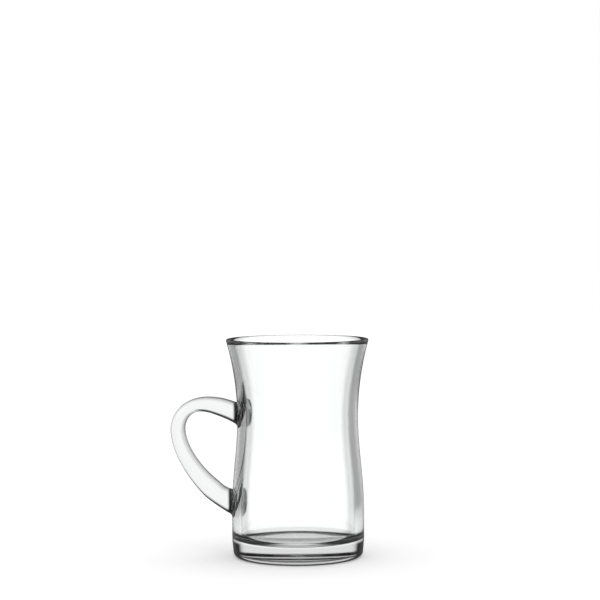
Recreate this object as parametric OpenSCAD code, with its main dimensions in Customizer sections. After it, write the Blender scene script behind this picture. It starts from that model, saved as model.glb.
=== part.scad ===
// Clear glass mug: a waisted vessel with a heavy base, and a loop handle fused to its wall.
// The axis of the vessel is Z, the table is at Z = 0 and the handle points along -X.

/* [Vessel] */
// Height from the table to the top of the lip
mug_h = 116.5; // [105:0.5:150]
// Outer diameter across the lip
rim_d = 76; // [70:0.5:90]
// Outward lean of the wall under the lip, a share of its height
rim_lean_share = 0.28; // [0.1:0.01:0.4]
// Outer diameter at the waist
waist_d = 64.5; // [58:0.5:68]
// Height of the waist
waist_z = 74; // [60:0.5:90]
// Outer diameter of the straight lower part
belly_d = 70.6; // [66:0.2:76]
// Height at which the straight lower part ends
belly_z = 26; // [24:0.5:40]
// Thickness of the wall from the waist down
wall_t = 4.7; // [3:0.1:6]
// Thickness of the wall at the lip
lip_t = 3.8; // [3:0.1:5]
// Radius on the outer edge of the lip
lip_outer_r = 0.9; // [0.6:0.1:1.8]

/* [Base] */
// Thickness of the glass under the drink, at the middle
floor_t = 9.6; // [6:0.2:13]
// How far the floor rises from its edge to its middle
floor_rise = 0.6; // [0:0.1:1.5]
// Radius between the floor and the wall inside
well_corner_r = 5.5; // [3:0.5:10]
// How far the foot draws in below the straight lower part
foot_taper_w = 0.6; // [0:0.05:1.2]
// Height from which it draws in
foot_taper_h = 9; // [5:0.5:12]
// Width of the round on the lower outer edge
foot_round_w = 3; // [1:0.1:4]
// Height of the round on the lower outer edge
foot_round_h = 2.8; // [1:0.1:4.5]
// Diameter of the shallow hollow under the base
punt_d = 44; // [36:1:54]
// Depth of that hollow at its centre
punt_h = 0.3; // [0.1:0.1:2]

/* [Handle] */
// Height of the middle of the upper root
upper_root_z = 75.8; // [70:0.2:84]
// Angle at which the handle rises from the upper root, in degrees
upper_root_rise = 26; // [10:0.2:35]
// Length over which the upper arm keeps that rise
upper_arm_run = 29.6; // [20:0.1:36]
// Distance from the mug's axis to the outermost point of the centre line
handle_reach = 65.4; // [58:0.2:72]
// Height of the outermost point of the centre line
bend_z = 67.5; // [62:0.5:74]
// Length over which the bend stays upright above that point
bend_run_up = 6.5; // [3:0.5:10]
// Length over which the bend stays upright below that point
bend_run_down = 16.5; // [10:0.5:20]
// Height of the middle of the lower root
lower_root_z = 28.4; // [26:0.2:36]
// Angle at which the handle rises from the lower root, in degrees
lower_root_rise = 11.6; // [0:0.2:25]
// Length over which the lower arm keeps that rise
lower_arm_run = 9.4; // [5:0.1:14]

/* [Handle section] */
// Depth of the handle at the upper root, in the plane of the loop
upper_root_t = 11.5; // [9:0.1:14]
// Depth that the upper arm draws in towards
upper_arm_t = 5.1; // [4:0.1:9]
// Depth of the handle at the bend
bend_t = 7.2; // [6:0.1:11]
// Depth that the lower arm swells towards
lower_arm_t = 10; // [8:0.1:13]
// Depth of the handle at the lower root
lower_root_t = 13.1; // [10:0.1:15]
// Width of the handle across the loop, at the bend
bend_w = 12.5; // [8:0.1:15]
// Width of the handle across the loop, at both roots
root_w = 16; // [10:0.1:18]
// Radius of the fillet where the handle meets the wall
root_fillet_r = 1.4; // [0.6:0.1:3]

/* [Hidden] */

// How far the ends of the handle are drawn into the wall before the wall is cut away
root_embed = 1.5;
// Power that squares the handle's oval section: 2 is an ellipse
section_power = 3;
// Steps along each stretch of the outline, along a half of the handle, and round its section
wall_steps = 20;
lip_steps = 6;
corner_steps = 8;
floor_steps = 4;
foot_steps = 6;
punt_steps = 5;
arm_steps = 22;
fillet_steps = 4;
section_sides = 24;
turn_sides = 128;

rim_r = rim_d / 2;
waist_r = waist_d / 2;
belly_r = belly_d / 2;
taper_r = belly_r - foot_taper_w;
punt_r = punt_d / 2;
lip_lean = atan(rim_lean_share);
lip_inner_r = lip_t - lip_outer_r;

// Smooth curve from a to b over t = 0 to 1, flat at a and rising by `lead` at b
function ease(t, a, b, lead = 0) =
    a + (b - a) * t * t * (3 - 2 * t) + lead * t * t * (t - 1);

// Height and outer radius where the wall runs into the round of the lip
lip_start_z = mug_h - lip_outer_r * (1 + sin(lip_lean));
lip_start_r = rim_r - lip_outer_r * (1 - cos(lip_lean));
// Height and inner radius where the inside of the wall runs into the round of the lip
lip_end_z = mug_h - lip_inner_r * (1 - sin(lip_lean));
lip_end_r = rim_r - lip_outer_r - lip_inner_r * cos(lip_lean);

function flare(z, low_r, high_r, high_z) =
    ease((z - waist_z) / (high_z - waist_z), low_r, high_r, rim_lean_share * (high_z - waist_z));
function belly(z) =
    z < belly_z ? belly_r : ease((z - belly_z) / (waist_z - belly_z), belly_r, waist_r);
// Outer and inner radius of the wall at height z
function outer_r(z) = z < waist_z ? belly(z) : flare(z, waist_r, lip_start_r, lip_start_z);
function inner_r(z) =
    z < waist_z ? belly(z) - wall_t : flare(z, waist_r - wall_t, lip_end_r, lip_end_z);

// Points of an elliptical arc about [x, z]
function arc(x, z, w, h, from, to, steps) =
    [for (i = [0 : steps]) let (a = from + (to - from) * i / steps) [x + w * cos(a), z + h * sin(a)]];
// Evenly spaced heights from one to another, without the first and the last
function between(from, to, steps) = [for (i = [1 : steps - 1]) from + (to - from) * i / steps];

// Outside of the vessel, from the foot up to the top of the lip
function outside_points() = concat(
    arc(taper_r - foot_round_w, foot_round_h, foot_round_w, foot_round_h, -90, 0, foot_steps),
    [[belly_r, foot_taper_h], [belly_r, belly_z]],
    [for (z = between(belly_z, waist_z, wall_steps)) [outer_r(z), z]],
    [[waist_r, waist_z]],
    [for (z = between(waist_z, lip_start_z, wall_steps)) [outer_r(z), z]],
    arc(rim_r - lip_outer_r, mug_h - lip_outer_r, lip_outer_r, lip_outer_r, -lip_lean, 90, lip_steps)
);

// Inside of the vessel, from the lip down to the middle of the floor, which is slightly domed
floor_edge_z = floor_t - floor_rise;
well_top_z = floor_edge_z + well_corner_r;
floor_edge_r = inner_r(well_top_z) - well_corner_r;
function floor_point(share) = [floor_edge_r * share, floor_t - floor_rise * share * share];
function inside_points() = concat(
    arc(rim_r - lip_outer_r, mug_h - lip_inner_r, lip_inner_r, lip_inner_r, 90, 180 - lip_lean, lip_steps),
    [for (z = between(lip_end_z, waist_z, wall_steps)) [inner_r(z), z]],
    [[inner_r(waist_z), waist_z]],
    [for (z = between(waist_z, well_top_z, wall_steps)) [inner_r(z), z]],
    arc(floor_edge_r, well_top_z, well_corner_r, well_corner_r, 0, -90, corner_steps),
    [for (i = [floor_steps - 1 : -1 : 0]) floor_point(i / floor_steps)]
);

// Hollow under the base, from its centre out to the ring that stands on the table
function punt_points() = [
    for (i = [0 : punt_steps]) let (share = i / punt_steps) [punt_r * share, punt_h * (1 - share * share)]
];

// All of a list but its first point, which the list before it ends with
function after_first(points) = [for (i = [1 : len(points) - 1]) points[i]];

// The vessel without its well: what the handle is fused to
module vessel_block() {
    rotate_extrude($fn = turn_sides)
        polygon(concat([[0, 0]], outside_points(), [[0, mug_h]]));
}

module body() {
    color([0.9, 0.94, 0.93, 0.35])
        rotate_extrude($fn = turn_sides)
            polygon(concat(punt_points(), outside_points(), after_first(inside_points())));
}

// Point at t = 0 to 1 of the cubic curve with the four control points p, in any number of values
function bezier(p, t) =
    pow(1 - t, 3) * p[0] + 3 * pow(1 - t, 2) * t * p[1] + 3 * (1 - t) * t * t * p[2] + t * t * t * p[3];
function bezier_slope(p, t) =
    pow(1 - t, 2) * (p[1] - p[0]) + 2 * (1 - t) * t * (p[2] - p[1]) + t * t * (p[3] - p[2]);

// A root of the centre line on the wall, and the end of the straight run that leaves it
function root_at(z) = [-outer_r(z), z];
function run_end(root, rise, run) = root + run * [-cos(rise), sin(rise)];
upper_root = root_at(upper_root_z);
lower_root = root_at(lower_root_z);
upper_run_end = run_end(upper_root, upper_root_rise, upper_arm_run);
lower_run_end = run_end(lower_root, lower_root_rise, lower_arm_run);

// Control points of the two halves of the handle, each [x, z, depth, width]
upper_half = [
    [upper_root.x, upper_root.y, upper_root_t, root_w],
    [upper_run_end.x, upper_run_end.y, upper_arm_t, bend_w],
    [-handle_reach, bend_z + bend_run_up, bend_t, bend_w],
    [-handle_reach, bend_z, bend_t, bend_w]
];
lower_half = [
    [-handle_reach, bend_z, bend_t, bend_w],
    [-handle_reach, bend_z - bend_run_down, bend_t, bend_w],
    [lower_run_end.x, lower_run_end.y, lower_arm_t, bend_w],
    [lower_root.x, lower_root.y, lower_root_t, root_w]
];

// Share of a half of the handle at which its centre line is gap away from the wall: a cubic curve
// leaves its first point at three times the length of its first run
function near_share(gap, run) = gap / (3 * run);
// Shares along a half: one inside the wall, close together in the fillet at the root, then even
function half_shares(run) = let (first = near_share(root_fillet_r, run)) concat(
    [near_share(-root_embed, run)],
    [for (i = [1 : fillet_steps]) first * (i - 1 / 2) / fillet_steps],
    [for (i = [0 : arm_steps]) first + (1 - first) * i / arm_steps]
);
upper_shares = half_shares(upper_arm_run);
lower_shares = half_shares(lower_arm_run);

// How much the section swells in the fillet, gap away from the wall
function fillet_swell(gap) = gap >= root_fillet_r ? 0
    : root_fillet_r - sqrt(pow(root_fillet_r, 2) - pow(root_fillet_r - max(gap, 0), 2));

function power_cos(a) = sign(cos(a)) * pow(abs(cos(a)), 2 / section_power);
function power_sin(a) = sign(sin(a)) * pow(abs(sin(a)), 2 / section_power);

// One ring of the handle. Near the wall the section turns upright and follows the wall's curve.
// side is 1 on the upper half and -1 on the lower, so that the rings join with no twist.
function ring(place, slope, root_t, side) =
    let (
        gap = -place[0] - outer_r(place[1]),
        away = min(1, max(0, gap / root_t)),
        turned = away * away * (3 - 2 * away),
        rise = atan2(slope[1], -slope[0]) * turned,
        depth = place[2] / 2 + fillet_swell(gap),
        width = place[3] / 2 + fillet_swell(gap)
    )
    [for (i = [0 : section_sides - 1])
        let (
            a = 360 * i / section_sides,
            up = side * depth * power_cos(a),
            y = width * power_sin(a),
            z = place[1] + up * cos(rise),
            on_wall = -sqrt(pow(outer_r(z), 2) - y * y) - gap,
            flat = place[0] + up * sin(rise)
        )
        [on_wall + (flat - on_wall) * turned, y, z]];

handle_rings = concat(
    [for (t = upper_shares) ring(bezier(upper_half, t), bezier_slope(upper_half, t), upper_root_t, 1)],
    [for (i = [len(lower_shares) - 2 : -1 : 0])
        let (t = 1 - lower_shares[i])
        ring(bezier(lower_half, t), -bezier_slope(lower_half, t), lower_root_t, -1)]
);
ring_count = len(handle_rings);
handle_points = concat([for (r = handle_rings, p = r) p], [
    [upper_root.x + root_embed, 0, upper_root.y],
    [lower_root.x + root_embed, 0, lower_root.y]
]);
handle_faces = concat(
    [for (k = [0 : ring_count - 2], i = [0 : section_sides - 1], half = [0, 1])
        let (
            j = (i + 1) % section_sides,
            a = k * section_sides + i,
            b = k * section_sides + j,
            c = a + section_sides,
            d = b + section_sides
        )
        half == 0 ? [a, b, d] : [a, d, c]],
    [for (i = [0 : section_sides - 1])
        [ring_count * section_sides, (i + 1) % section_sides, i]],
    [for (i = [0 : section_sides - 1])
        let (first = (ring_count - 1) * section_sides)
        [ring_count * section_sides + 1, first + i, first + (i + 1) % section_sides]]
);

module handle() {
    color([0.9, 0.94, 0.93, 0.35])
        difference() {
            polyhedron(handle_points, handle_faces);
            vessel_block();
        }
}

body();
handle();
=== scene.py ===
"""Clear glass mug: a waisted vessel with a heavy base and a loop handle fused to its wall."""

import math

import bmesh
import bpy
from mathutils import Matrix, Vector


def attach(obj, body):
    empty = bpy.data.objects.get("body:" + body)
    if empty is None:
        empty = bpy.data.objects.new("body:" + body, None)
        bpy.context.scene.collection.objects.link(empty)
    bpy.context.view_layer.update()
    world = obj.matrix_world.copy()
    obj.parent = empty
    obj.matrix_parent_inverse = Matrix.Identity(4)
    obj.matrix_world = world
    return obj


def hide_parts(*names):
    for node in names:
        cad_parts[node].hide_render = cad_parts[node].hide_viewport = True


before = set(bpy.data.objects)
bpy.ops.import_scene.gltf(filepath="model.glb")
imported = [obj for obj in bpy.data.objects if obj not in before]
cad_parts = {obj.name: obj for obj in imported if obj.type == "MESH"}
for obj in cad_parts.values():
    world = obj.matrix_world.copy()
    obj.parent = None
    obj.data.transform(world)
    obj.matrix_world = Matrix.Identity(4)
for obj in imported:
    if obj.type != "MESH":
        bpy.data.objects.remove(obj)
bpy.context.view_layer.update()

MM = 0.001

# Vessel, in millimetres
MUG_H = 116.5
RIM_D = 76.0
RIM_LEAN = 0.28
WAIST_D = 64.5
WAIST_Z = 74.0
BELLY_D = 70.6
BELLY_Z = 26.0
WALL_T = 4.7
LIP_T = 3.8
LIP_OUTER_R = 0.9

# Base
FLOOR_T = 9.6
FLOOR_RISE = 0.6
WELL_CORNER_R = 5.5
FOOT_TAPER_W = 0.6
FOOT_TAPER_H = 9.0
FOOT_ROUND_W = 3.0
FOOT_ROUND_H = 2.8
PUNT_D = 44.0
PUNT_H = 0.3

# Handle
UPPER_ROOT_Z = 75.8
UPPER_ROOT_RISE = math.radians(26.0)
UPPER_ARM_RUN = 29.6
HANDLE_REACH = 65.4
BEND_Z = 67.5
BEND_RUN_UP = 6.5
BEND_RUN_DOWN = 16.5
LOWER_ROOT_Z = 28.4
LOWER_ROOT_RISE = math.radians(11.6)
LOWER_ARM_RUN = 9.4

# Section of the handle: t is its depth in the plane of the loop, w its width across the loop
UPPER_ROOT_T = 11.5
UPPER_ARM_T = 5.1
BEND_T = 7.2
LOWER_ARM_T = 10.0
LOWER_ROOT_T = 13.1
BEND_W = 12.5
ROOT_W = 16.0
ROOT_FILLET_R = 1.4
ROOT_EMBED = 0.03
SECTION_POWER = 3.0

# Fineness of the meshes
TURN_SEGMENTS = 192
ROUND_STEPS = 32
LIP_STEPS = 16
FOOT_STEPS = 12
WALL_STEPS = 60
SECTION_SIDES = 64
ARM_STEPS = 90
FILLET_STEPS = 10
CREASE_ANGLE = math.radians(35)

# Glass
GLASS_IOR = 1.52
RIPPLE_SCALE = 70.0
RIPPLE_DEPTH = 0.00001

# The camera stands this many degrees round the axis, so that the handle can lie along -X
VIEW_TURN = math.radians(9.0)

# Painted shade of the vessel, standing in for its dark edges: lightness over a span of facing, which is 0
# head-on and 1 edge-on; places in metres
WALL_FACING = (0.42, 0.58)
WALL_PAINTED_SHADE = 0.58
OUTLINE_FACING = (0.68, 0.95)
OUTLINE_PAINTED_SHADE = 0.3
LIP_START = ((MUG_H - 2.5) * MM, (MUG_H - 1.5) * MM)
LIP_FACING = (0.55, 0.85)
LIP_PAINTED_SHADE = 0.03
BASE_TOP = ((FLOOR_T - 0.8) * MM, (FLOOR_T + 0.6) * MM)
WELL_R = BELLY_D / 2 - WALL_T
BASE_R = ((WELL_R + 0.4) * MM, (WELL_R + 1.9) * MM)
BASE_FACING = (0.48, 0.60)
BASE_PAINTED_SHADE = 0.64
CONTACT_SHADE_Z = (0.0003, 0.0026)

# Painted shade of the handle, and of the creases at given distances from the wall
HANDLE_FACING = (0.15, 0.5)
HANDLE_PAINTED_SHADE = 0.82
HANDLE_SIDE_PAINTED_SHADE = 0.5
HANDLE_EDGE_FACING = (0.55, 0.9)
HANDLE_EDGE_PAINTED_SHADE = 0.1
BETWEEN_ROOTS = ((BELLY_Z + 10) * MM, (WAIST_Z - 8) * MM)
CREASE_START = (0.00025, 0.00045)
CREASE_END = (0.0014, 0.0028)
CREASE_PAINTED_SHADE = 0.002

# Light seen straight through the glass, and how it falls off overhead, in degrees of elevation
OPEN_LIGHT = 1.22
OPEN_FALL = (10.0, 20.0)
OPEN_OVERHEAD = 0.03

# Panel behind the mug, seen by light that has turned inside the glass; angles off the view's axis
PANEL_LIGHT = 1.2
PANEL_SIDE_LIGHT = 0.5
PANEL_CORE = (12.0, 28.0)
PANEL_EDGE = (50.0, 62.0)
PANEL_FALL = (6.0, 14.0)

# Studio mirrored by the outside of the glass
MIRROR_BACK = 0.1
MIRROR_ROOM = 0.5
MIRROR_FALL = (20.0, 40.0)
MIRROR_OVERHEAD = 0.3
MIRROR_FLOOR = 0.2

# Floor: plain white to the camera; the levels from FLOOR_EDGE on are painted light and shadow that only
# the glass shows
FLOOR_R = 3.0
FLOOR_ALBEDO = 0.85
FLOOR_GLOW = 0.25
FLOOR_EDGE = (55.0, 80.0)
UNDER_LIGHT = 0.88
FOOT_SHADOW = 0.08
FOOT_SHADOW_START = (0.028, 0.031)
FOOT_SHADOW_END = (0.0365, 0.0395)
NEAR_LIGHT = 1.15
NEAR_R = (0.12, 0.25)
NEAR_EDGE = (60.0, 90.0)
RING_R = (0.040, 0.050)
RING_FRONT = (150.0, 170.0)
RING_LIGHT = 0.9
UNDER_R = (0.030, 0.034)
UNDER_ACROSS = 0.018
UNDER_ALONG = 0.036
UNDER_SOFT = (0.75, 1.25)
UNDER_DIM = 0.05
SHADE_BAND_START = (0.021, 0.023)
SHADE_BAND_END = (0.027, 0.029)
SHADE_BAND_SHARE = 0.35

# Worked out from the sizes above
LEAN = math.atan(RIM_LEAN)
LIP_INNER_R = LIP_T - LIP_OUTER_R
LIP_START_Z = MUG_H - LIP_OUTER_R * (1 + math.sin(LEAN))
LIP_START_R = RIM_D / 2 - LIP_OUTER_R * (1 - math.cos(LEAN))
LIP_END_Z = MUG_H - LIP_INNER_R * (1 - math.sin(LEAN))
LIP_END_R = RIM_D / 2 - LIP_OUTER_R - LIP_INNER_R * math.cos(LEAN)


# Shape of the vessel

def ease(t, a, b, lead=0.0):
    """Smooth curve from a to b over t = 0 to 1, flat at a and rising by lead at b."""
    return a + (b - a) * t * t * (3 - 2 * t) + lead * t * t * (t - 1)


def flare(z, low_r, high_r, high_z):
    rise = high_z - WAIST_Z
    return ease((z - WAIST_Z) / rise, low_r, high_r, RIM_LEAN * rise)


def belly(z):
    if z < BELLY_Z:
        return BELLY_D / 2
    return ease((z - BELLY_Z) / (WAIST_Z - BELLY_Z), BELLY_D / 2, WAIST_D / 2)


def outer_r(z):
    if z < WAIST_Z:
        return belly(z)
    return flare(z, WAIST_D / 2, LIP_START_R, LIP_START_Z)


def inner_r(z):
    if z < WAIST_Z:
        return belly(z) - WALL_T
    return flare(z, WAIST_D / 2 - WALL_T, LIP_END_R, LIP_END_Z)


def arc(x, z, w, h, start, end, steps):
    """Points of an elliptical arc about (x, z), from one angle to another in degrees."""
    points = []
    for i in range(steps + 1):
        a = math.radians(start + (end - start) * i / steps)
        points.append((x + w * math.cos(a), z + h * math.sin(a)))
    return points


def between(a, b, steps):
    return [a + (b - a) * i / steps for i in range(1, steps)]


def foot_profile():
    """Underside from its middle outwards, the round of the foot and the taper above it."""
    punt_r = PUNT_D / 2
    taper_r = BELLY_D / 2 - FOOT_TAPER_W
    punt_steps = 16
    taper_steps = 8
    profile = []
    for i in range(punt_steps + 1):
        share = i / punt_steps
        profile.append((punt_r * share, PUNT_H * (1 - share * share)))
    profile += arc(taper_r - FOOT_ROUND_W, FOOT_ROUND_H, FOOT_ROUND_W, FOOT_ROUND_H, -90, 0, ROUND_STEPS)
    for i in range(1, taper_steps + 1):
        share = i / taper_steps
        z = FOOT_ROUND_H + (FOOT_TAPER_H - FOOT_ROUND_H) * share
        profile.append((taper_r + FOOT_TAPER_W * share, z))
    return profile


def wall_profile():
    """Outside of the wall up to the lip, over the lip, and down the inside to the well's corner."""
    lean = math.degrees(LEAN)
    lip_x = RIM_D / 2 - LIP_OUTER_R
    well_top = FLOOR_T - FLOOR_RISE + WELL_CORNER_R
    profile = [(BELLY_D / 2, z) for z in between(FOOT_TAPER_H, BELLY_Z, FOOT_STEPS)]
    profile += [(outer_r(z), z) for z in between(BELLY_Z, WAIST_Z, WALL_STEPS)]
    profile += [(outer_r(z), z) for z in between(WAIST_Z, LIP_START_Z, WALL_STEPS)]
    profile += arc(lip_x, MUG_H - LIP_OUTER_R, LIP_OUTER_R, LIP_OUTER_R, -lean, 90, LIP_STEPS)
    profile += arc(lip_x, MUG_H - LIP_INNER_R, LIP_INNER_R, LIP_INNER_R, 90, 180 - lean, LIP_STEPS)[1:]
    profile += [(inner_r(z), z) for z in between(LIP_END_Z, WAIST_Z, WALL_STEPS)]
    profile += [(inner_r(z), z) for z in between(WAIST_Z, well_top, WALL_STEPS)]
    return profile


def floor_profile():
    """Corner of the well and its slightly domed floor, from the wall to the middle."""
    well_top = FLOOR_T - FLOOR_RISE + WELL_CORNER_R
    edge_r = inner_r(well_top) - WELL_CORNER_R
    dome_steps = 24
    profile = arc(edge_r, well_top, WELL_CORNER_R, WELL_CORNER_R, 0, -90, ROUND_STEPS)
    for i in range(1, dome_steps + 1):
        share = 1 - i / dome_steps
        profile.append((edge_r * share, FLOOR_T - FLOOR_RISE * share * share))
    return profile


def vessel_mesh():
    """The whole outline turned about the axis."""
    points = []
    rings = []
    for r, z in foot_profile() + wall_profile() + floor_profile():
        count = 1 if r < MM else TURN_SEGMENTS
        rings.append(range(len(points), len(points) + count))
        for j in range(count):
            a = 2 * math.pi * (j + 0.5) / TURN_SEGMENTS
            points.append((r * MM * math.cos(a), r * MM * math.sin(a), z * MM))
    faces = []
    for low, high in zip(rings, rings[1:]):
        for j in range(TURN_SEGMENTS):
            k = (j + 1) % TURN_SEGMENTS
            if len(low) == 1:
                faces.append((low[0], high[k], high[j]))
            elif len(high) == 1:
                faces.append((low[j], low[k], high[0]))
            else:
                faces.append((low[j], low[k], high[k], high[j]))
    return points, faces


# Shape of the handle

def run_end(root, rise, run):
    return (root[0] - run * math.cos(rise), root[1] + run * math.sin(rise))


def bezier(p, t):
    s = 1 - t
    weights = (s ** 3, 3 * s * s * t, 3 * s * t * t, t ** 3)
    return [sum(w * v for w, v in zip(weights, values)) for values in zip(*p)]


def bezier_slope(p, t):
    s = 1 - t
    return [s * s * (b - a) + 2 * s * t * (c - b) + t * t * (d - c) for a, b, c, d in zip(*p)]


def fillet_swell(gap):
    """How far the section swells at this distance from the wall."""
    if gap >= ROOT_FILLET_R:
        return 0.0
    run = ROOT_FILLET_R - max(gap, 0.0)
    return ROOT_FILLET_R - math.sqrt(max(0.0, ROOT_FILLET_R ** 2 - run ** 2))


def squared(value):
    return math.copysign(abs(value) ** (2 / SECTION_POWER), value)


def handle_ring(place, slope, root_t, side):
    """One ring of the handle; near the wall it turns upright and follows the wall's curve."""
    x, z, depth, width = place
    gap = -x - outer_r(z)
    away = min(1.0, max(0.0, gap / root_t))
    turned = away * away * (3 - 2 * away)
    rise = math.atan2(slope[1], -slope[0]) * turned
    half_depth = depth / 2 + fillet_swell(gap)
    half_width = width / 2 + fillet_swell(gap)
    ring = []
    for i in range(SECTION_SIDES):
        a = 2 * math.pi * i / SECTION_SIDES
        up = side * half_depth * squared(math.cos(a))
        y = half_width * squared(math.sin(a))
        ring_z = z + up * math.cos(rise)
        on_wall = -math.sqrt(outer_r(ring_z) ** 2 - y * y) - gap
        flat = x + up * math.sin(rise)
        ring.append((on_wall + (flat - on_wall) * turned, y, ring_z))
    return ring


def arm_shares(run):
    """Shares of an arm's length at which it has rings, close together in the fillet."""
    fillet_power = 1.5
    first = ROOT_FILLET_R / (3 * run)
    shares = [-ROOT_EMBED / (3 * run)]
    shares += [first * (i / FILLET_STEPS) ** fillet_power for i in range(FILLET_STEPS)]
    shares += [first + (1 - first) * i / ARM_STEPS for i in range(ARM_STEPS + 1)]
    return shares


def arm_curve(root_z, rise, run, root_t, arm_t, bend_run):
    """Four control points of an arm: place in the plane of the loop, depth and width."""
    root = (-outer_r(root_z), root_z)
    return (
        (*root, root_t, ROOT_W),
        (*run_end(root, rise, run), arm_t, BEND_W),
        (-HANDLE_REACH, BEND_Z + bend_run, BEND_T, BEND_W),
        (-HANDLE_REACH, BEND_Z, BEND_T, BEND_W),
    )


def handle_rings():
    upper_root = (UPPER_ROOT_Z, UPPER_ROOT_RISE, UPPER_ARM_RUN, UPPER_ROOT_T)
    lower_root = (LOWER_ROOT_Z, LOWER_ROOT_RISE, LOWER_ARM_RUN, LOWER_ROOT_T)
    upper = arm_curve(*upper_root, UPPER_ARM_T, BEND_RUN_UP)
    lower = arm_curve(*lower_root, LOWER_ARM_T, -BEND_RUN_DOWN)
    rings = []
    for t in arm_shares(UPPER_ARM_RUN):
        rings.append(handle_ring(bezier(upper, t), bezier_slope(upper, t), UPPER_ROOT_T, 1))
    for t in reversed(arm_shares(LOWER_ARM_RUN)[:-1]):
        rings.append(handle_ring(bezier(lower, t), bezier_slope(lower, t), LOWER_ROOT_T, -1))
    return rings


def handle_mesh():
    """The rings joined up, with both ends closed inside the wall's skin."""
    rings = handle_rings()
    points = [tuple(c * MM for c in point) for ring in rings for point in ring]
    faces = [tuple(reversed(range(SECTION_SIDES)))]
    for k in range(len(rings) - 1):
        for i in range(SECTION_SIDES):
            j = (i + 1) % SECTION_SIDES
            a = k * SECTION_SIDES
            b = a + SECTION_SIDES
            faces.append((a + i, b + i, b + j, a + j))
    last = (len(rings) - 1) * SECTION_SIDES
    faces.append(tuple(range(last, last + SECTION_SIDES)))
    return points, faces


def make_piece(name, points, faces):
    mesh = bpy.data.meshes.new(name)
    mesh.from_pydata(points, [], faces)
    mesh.validate()
    shape = bmesh.new()
    shape.from_mesh(mesh)
    bmesh.ops.recalc_face_normals(shape, faces=shape.faces)
    shape.to_mesh(mesh)
    shape.free()
    mesh.shade_smooth()
    mesh.set_sharp_from_angle(angle=CREASE_ANGLE)
    piece = bpy.data.objects.new(name, mesh)
    bpy.context.scene.collection.objects.link(piece)
    return piece


# Helpers for shader nodes

def put(tree, socket, value):
    """Links a socket to another, or gives it a plain value."""
    if isinstance(value, bpy.types.NodeSocket):
        tree.links.new(value, socket)
    else:
        socket.default_value = value


def maths(tree, operation, *values):
    node = tree.nodes.new("ShaderNodeMath")
    node.operation = operation
    for socket, value in zip(node.inputs, values):
        put(tree, socket, value)
    return node.outputs[0]


def add(tree, a, b):
    return maths(tree, "ADD", a, b)


def product(tree, first, *others):
    out = first
    for other in others:
        out = maths(tree, "MULTIPLY", out, other)
    return out


def length_of(tree, a, b):
    return maths(tree, "SQRT", add(tree, product(tree, a, a), product(tree, b, b)))


def smooth(tree, value, span, low_out, high_out):
    """Eases from one level to another while the value crosses the span."""
    node = tree.nodes.new("ShaderNodeMapRange")
    node.interpolation_type = "SMOOTHSTEP"
    for socket, level in zip(node.inputs, (value, span[0], span[1], low_out, high_out)):
        put(tree, socket, level)
    return node.outputs[0]


def blend(tree, factor, a, b):
    """Level a where the factor is 0, level b where it is 1."""
    node = tree.nodes.new("ShaderNodeMix")
    node.data_type = "FLOAT"
    put(tree, node.inputs[0], factor)
    put(tree, node.inputs[2], a)
    put(tree, node.inputs[3], b)
    return node.outputs[0]


def parts_of(tree, vector):
    node = tree.nodes.new("ShaderNodeSeparateXYZ")
    put(tree, node.inputs[0], vector)
    return node.outputs


# Glass

def ripple(tree, place):
    """Faint waviness of pressed glass."""
    noise = tree.nodes.new("ShaderNodeTexNoise")
    noise.inputs["Scale"].default_value = RIPPLE_SCALE
    noise.inputs["Detail"].default_value = 1.0
    put(tree, noise.inputs["Vector"], place)
    bump = tree.nodes.new("ShaderNodeBump")
    bump.inputs["Strength"].default_value = 1.0
    bump.inputs["Distance"].default_value = RIPPLE_DEPTH
    put(tree, bump.inputs["Height"], noise.outputs[0])
    return bump.outputs[0]


def glass_shader(name):
    """Polished clear glass, with its node tree, its place and how edge-on its surface lies."""
    material = bpy.data.materials.new(name)
    material.use_nodes = True
    tree = material.node_tree
    shader = tree.nodes["Principled BSDF"]
    shader.inputs["Roughness"].default_value = 0.0
    shader.inputs["IOR"].default_value = GLASS_IOR
    shader.inputs["Transmission Weight"].default_value = 1.0
    place = tree.nodes.new("ShaderNodeTexCoord").outputs["Object"]
    put(tree, shader.inputs["Normal"], ripple(tree, place))
    facing = tree.nodes.new("ShaderNodeLayerWeight").outputs["Facing"]
    return material, tree, shader, place, facing


def tint_and_shade_glass(tree, shader, level):
    """Faint green of soda-lime glass, darkened to the given lightness of painted shade."""
    red_share = 0.985
    blue_share = 0.997
    tint = tree.nodes.new("ShaderNodeCombineColor")
    put(tree, tint.inputs[0], product(tree, level, red_share))
    put(tree, tint.inputs[1], level)
    put(tree, tint.inputs[2], product(tree, level, blue_share))
    put(tree, shader.inputs["Base Color"], tint.outputs[0])


def base_painted_shade(tree, facing, radius, z):
    """Painted shade on the rim of the thick base, darker to its outline, with a painted contact shadow
    down to the table.
    """
    in_base = product(tree, smooth(tree, z, BASE_TOP, 1.0, 0.0), smooth(tree, radius, BASE_R, 0.0, 1.0))
    edge = product(tree, smooth(tree, facing, BASE_FACING, 1.0, 0.0), BASE_PAINTED_SHADE)
    return blend(tree, in_base, 1.0, product(tree, edge, smooth(tree, z, CONTACT_SHADE_Z, 0.0, 1.0)))


def vessel_glass():
    """Glass with painted shade: its wall darkens in two stages towards its outline, more at the lip and
    in the base.
    """
    material, tree, shader, place, facing = glass_shader("vessel_glass")
    x, y, z = parts_of(tree, place)
    # Painted shade: the wall and its outline darken as the surface turns edge-on
    wall = smooth(tree, facing, WALL_FACING, 1.0, WALL_PAINTED_SHADE)
    outline = smooth(tree, facing, OUTLINE_FACING, 1.0, OUTLINE_PAINTED_SHADE)
    # Painted shade on the lip, nearly black edge-on
    on_lip = smooth(tree, z, LIP_START, 0.0, 1.0)
    lip = blend(tree, on_lip, 1.0, smooth(tree, facing, LIP_FACING, 1.0, LIP_PAINTED_SHADE))
    base = base_painted_shade(tree, facing, length_of(tree, x, y), z)
    tint_and_shade_glass(tree, shader, product(tree, wall, outline, lip, base))
    return material


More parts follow.
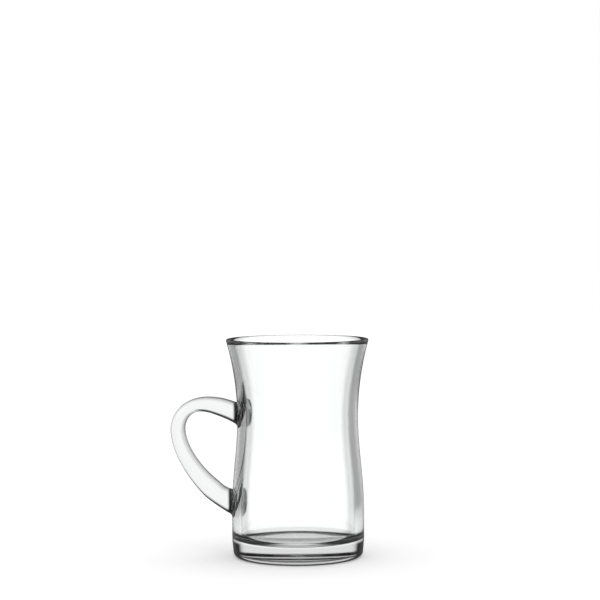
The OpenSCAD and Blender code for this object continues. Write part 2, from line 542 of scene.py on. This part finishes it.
def handle_glass():
    """Glass with painted shade: grey head-on, greyer edge-on, and nearly black in the creases where it is
    fused to the wall.
    """
    material, tree, shader, place, facing = glass_shader("handle_glass")
    x, y, z = parts_of(tree, place)
    # Painted shade of the handle, by how edge-on its surface lies
    body = smooth(tree, facing, HANDLE_FACING, HANDLE_PAINTED_SHADE, HANDLE_SIDE_PAINTED_SHADE)
    outline = smooth(tree, facing, HANDLE_EDGE_FACING, 1.0, HANDLE_EDGE_PAINTED_SHADE)
    low_wall_r = outer_r(LOWER_ROOT_Z) * MM
    high_wall_r = outer_r(UPPER_ROOT_Z) * MM
    wall_r = smooth(tree, z, BETWEEN_ROOTS, low_wall_r, high_wall_r)
    gap = maths(tree, "SUBTRACT", length_of(tree, x, y), wall_r)
    # Painted shade in the creases where the handle meets the wall
    crease_start = smooth(tree, gap, CREASE_START, 1.0, 0.0)
    crease_end = smooth(tree, gap, CREASE_END, 0.0, 1.0)
    clear_share = maths(tree, "MAXIMUM", crease_start, crease_end)
    crease_shade = blend(tree, clear_share, CREASE_PAINTED_SHADE, 1.0)
    tint_and_shade_glass(tree, shader, product(tree, body, outline, crease_shade))
    return material


# Light

def turned_axes(tree, x, y):
    """Horizontal coordinates across and along the direction in which the camera looks."""
    c = math.cos(VIEW_TURN)
    s = math.sin(VIEW_TURN)
    across = add(tree, product(tree, x, c), product(tree, y, s))
    along = maths(tree, "SUBTRACT", product(tree, y, c), product(tree, x, s))
    return across, along


def angle_off_axis(tree, across, along):
    """Degrees to either side of straight behind the mug."""
    turn = maths(tree, "ABSOLUTE", maths(tree, "ARCTAN2", across, along))
    return product(tree, turn, math.degrees(1))


def light_path(tree):
    """Marks of how light came: straight to the camera, after a mirroring, and from outside the glass."""
    path = tree.nodes.new("ShaderNodeLightPath")
    mirrored = maths(tree, "MINIMUM", path.outputs["Glossy Depth"], 1.0)
    outside = maths(tree, "LESS_THAN", path.outputs["Transmission Depth"], 0.5)
    return path, mirrored, outside


def by_path(tree, path_marks, through, inside, outside_level):
    """Level for light seen through the glass, turned inside it, or mirrored by its outside."""
    mirrored, outside = path_marks[1:]
    turned = blend(tree, outside, inside, outside_level)
    return blend(tree, mirrored, through, turned)


def build_world():
    """White to the camera and to the floor; a bright panel and a dark room in the glass."""
    world = bpy.data.worlds.new("studio")
    bpy.context.scene.world = world
    world.use_nodes = True
    tree = world.node_tree
    tree.nodes.clear()
    x, y, z = parts_of(tree, tree.nodes.new("ShaderNodeTexCoord").outputs["Generated"])
    angle = angle_off_axis(tree, *turned_axes(tree, x, y))
    elevation = product(tree, maths(tree, "ARCSINE", z), math.degrees(1))
    through = smooth(tree, elevation, OPEN_FALL, OPEN_LIGHT, OPEN_LIGHT * OPEN_OVERHEAD)
    panel = smooth(tree, angle, PANEL_CORE, PANEL_LIGHT, PANEL_SIDE_LIGHT)
    panel_end = smooth(tree, angle, PANEL_EDGE, 1.0, 0.0)
    panel_top = smooth(tree, elevation, PANEL_FALL, 1.0, 0.0)
    inside = product(tree, panel, panel_end, panel_top)
    room = smooth(tree, angle, PANEL_CORE, MIRROR_BACK, MIRROR_ROOM)
    mirror = product(tree, room, smooth(tree, elevation, MIRROR_FALL, 1.0, MIRROR_OVERHEAD))
    marks = light_path(tree)
    outputs = marks[0].outputs
    plain = maths(tree, "MAXIMUM", outputs["Is Camera Ray"], outputs["Is Diffuse Ray"])
    background = tree.nodes.new("ShaderNodeBackground")
    level = by_path(tree, marks, through, inside, mirror)
    put(tree, background.inputs["Color"], (1, 1, 1, 1))
    put(tree, background.inputs["Strength"], blend(tree, plain, level, 1.0))
    end = tree.nodes.new("ShaderNodeOutputWorld")
    put(tree, end.inputs["Surface"], background.outputs[0])


def floor_inside(tree, across, along, radius):
    """Painted light and shadow on the floor, as light that has turned inside the glass meets it."""
    angle = angle_off_axis(tree, across, along)
    panel = smooth(tree, angle, PANEL_CORE, PANEL_LIGHT, PANEL_SIDE_LIGHT)
    beyond = product(tree, panel, smooth(tree, angle, FLOOR_EDGE, 1.0, 0.0))
    near = product(tree, smooth(tree, radius, NEAR_R, 1.0, 0.0), smooth(tree, angle, NEAR_EDGE, 1.0, 0.0))
    beyond = blend(tree, near, beyond, NEAR_LIGHT)
    ring = smooth(tree, angle, RING_FRONT, 0.0, RING_LIGHT)
    far = blend(tree, smooth(tree, radius, RING_R, 0.0, 1.0), ring, beyond)
    oval = length_of(tree, product(tree, across, 1 / UNDER_ACROSS), product(tree, along, 1 / UNDER_ALONG))
    under = smooth(tree, oval, UNDER_SOFT, RING_LIGHT, UNDER_DIM)
    # Painted dark band on the floor under the foot
    start = smooth(tree, radius, SHADE_BAND_START, 0.0, 1.0)
    shade_band = product(tree, start, smooth(tree, radius, SHADE_BAND_END, 1.0, 0.0))
    under = blend(tree, shade_band, under, product(tree, under, SHADE_BAND_SHARE))
    return blend(tree, smooth(tree, radius, UNDER_R, 0.0, 1.0), under, far)


def floor_white():
    """Pale floor with a soft shadow, and painted light and shadow for what the glass shows of it."""
    material = bpy.data.materials.new("floor_white")
    material.use_nodes = True
    tree = material.node_tree
    tree.nodes.clear()
    x, y = parts_of(tree, tree.nodes.new("ShaderNodeNewGeometry").outputs["Position"])[:2]
    across, along = turned_axes(tree, x, y)
    radius = length_of(tree, x, y)
    # Painted shadow ring round the foot on the floor, seen through the glass
    open_floor = smooth(tree, radius, FOOT_SHADOW_END, FOOT_SHADOW, OPEN_LIGHT)
    through = blend(tree, smooth(tree, radius, FOOT_SHADOW_START, 0.0, 1.0), UNDER_LIGHT, open_floor)
    inside = floor_inside(tree, across, along, radius)
    marks = light_path(tree)
    in_glass = tree.nodes.new("ShaderNodeEmission")
    put(tree, in_glass.inputs["Strength"], by_path(tree, marks, through, inside, MIRROR_FLOOR))
    lit = tree.nodes.new("ShaderNodeBsdfDiffuse")
    put(tree, lit.inputs["Color"], (FLOOR_ALBEDO, FLOOR_ALBEDO, FLOOR_ALBEDO, 1))
    glow = tree.nodes.new("ShaderNodeEmission")
    put(tree, glow.inputs["Strength"], FLOOR_GLOW)
    own = tree.nodes.new("ShaderNodeAddShader")
    put(tree, own.inputs[0], lit.outputs[0])
    put(tree, own.inputs[1], glow.outputs[0])
    seen = tree.nodes.new("ShaderNodeMixShader")
    put(tree, seen.inputs[0], marks[0].outputs["Is Camera Ray"])
    put(tree, seen.inputs[1], in_glass.outputs[0])
    put(tree, seen.inputs[2], own.outputs[0])
    end = tree.nodes.new("ShaderNodeOutputMaterial")
    put(tree, end.inputs["Surface"], seen.outputs[0])
    return material


def build_floor():
    sides = 96
    mesh = bpy.data.meshes.new("floor")
    turns = [2 * math.pi * j / sides for j in range(sides)]
    rim = [(FLOOR_R * math.cos(a), FLOOR_R * math.sin(a), 0) for a in turns]
    mesh.from_pydata(rim, [], [tuple(range(sides))])
    floor = bpy.data.objects.new("floor", mesh)
    bpy.context.scene.collection.objects.link(floor)
    mesh.materials.append(floor_white())


def build_camera():
    """Camera fitted to the ellipses of the lip and the base in the photograph."""
    distance = 1.047
    height = 0.176
    aside = 0.0016
    pitch = math.radians(2.13)
    roll = math.radians(-0.3)
    focal_px = 1965
    frame_px = 600
    data = bpy.data.cameras.new("camera")
    data.sensor_fit = "HORIZONTAL"
    data.sensor_width = 36
    data.lens = focal_px / frame_px * data.sensor_width
    data.clip_end = 100
    camera = bpy.data.objects.new("camera", data)
    bpy.context.scene.collection.objects.link(camera)
    look = Vector((0, math.cos(pitch), -math.sin(pitch)))
    level_right = Vector((1, 0, 0))
    level_up = level_right.cross(look)
    right = math.cos(roll) * level_right + math.sin(roll) * level_up
    up = math.cos(roll) * level_up - math.sin(roll) * level_right
    axes = Matrix((right, up, -look)).transposed().to_4x4()
    place = Matrix.Translation((aside, -distance, height)) @ axes
    camera.matrix_world = Matrix.Rotation(VIEW_TURN, 4, "Z") @ place
    bpy.context.scene.camera = camera


def build_piece(name, mesh, material, node):
    """A finer piece with the given material, in the place of a node of the frame, which is hidden."""
    piece = make_piece(name, *mesh)
    piece.data.materials.append(material)
    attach(piece, "root")
    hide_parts(node)


def main():
    scene = bpy.context.scene
    scene.view_settings.view_transform = "Standard"
    scene.cycles.max_bounces = 24
    scene.cycles.transmission_bounces = 24
    scene.cycles.glossy_bounces = 12
    build_camera()
    build_piece("vessel", vessel_mesh(), vessel_glass(), "body")
    build_piece("loop_handle", handle_mesh(), handle_glass(), "handle")
    build_world()
    build_floor()


main()
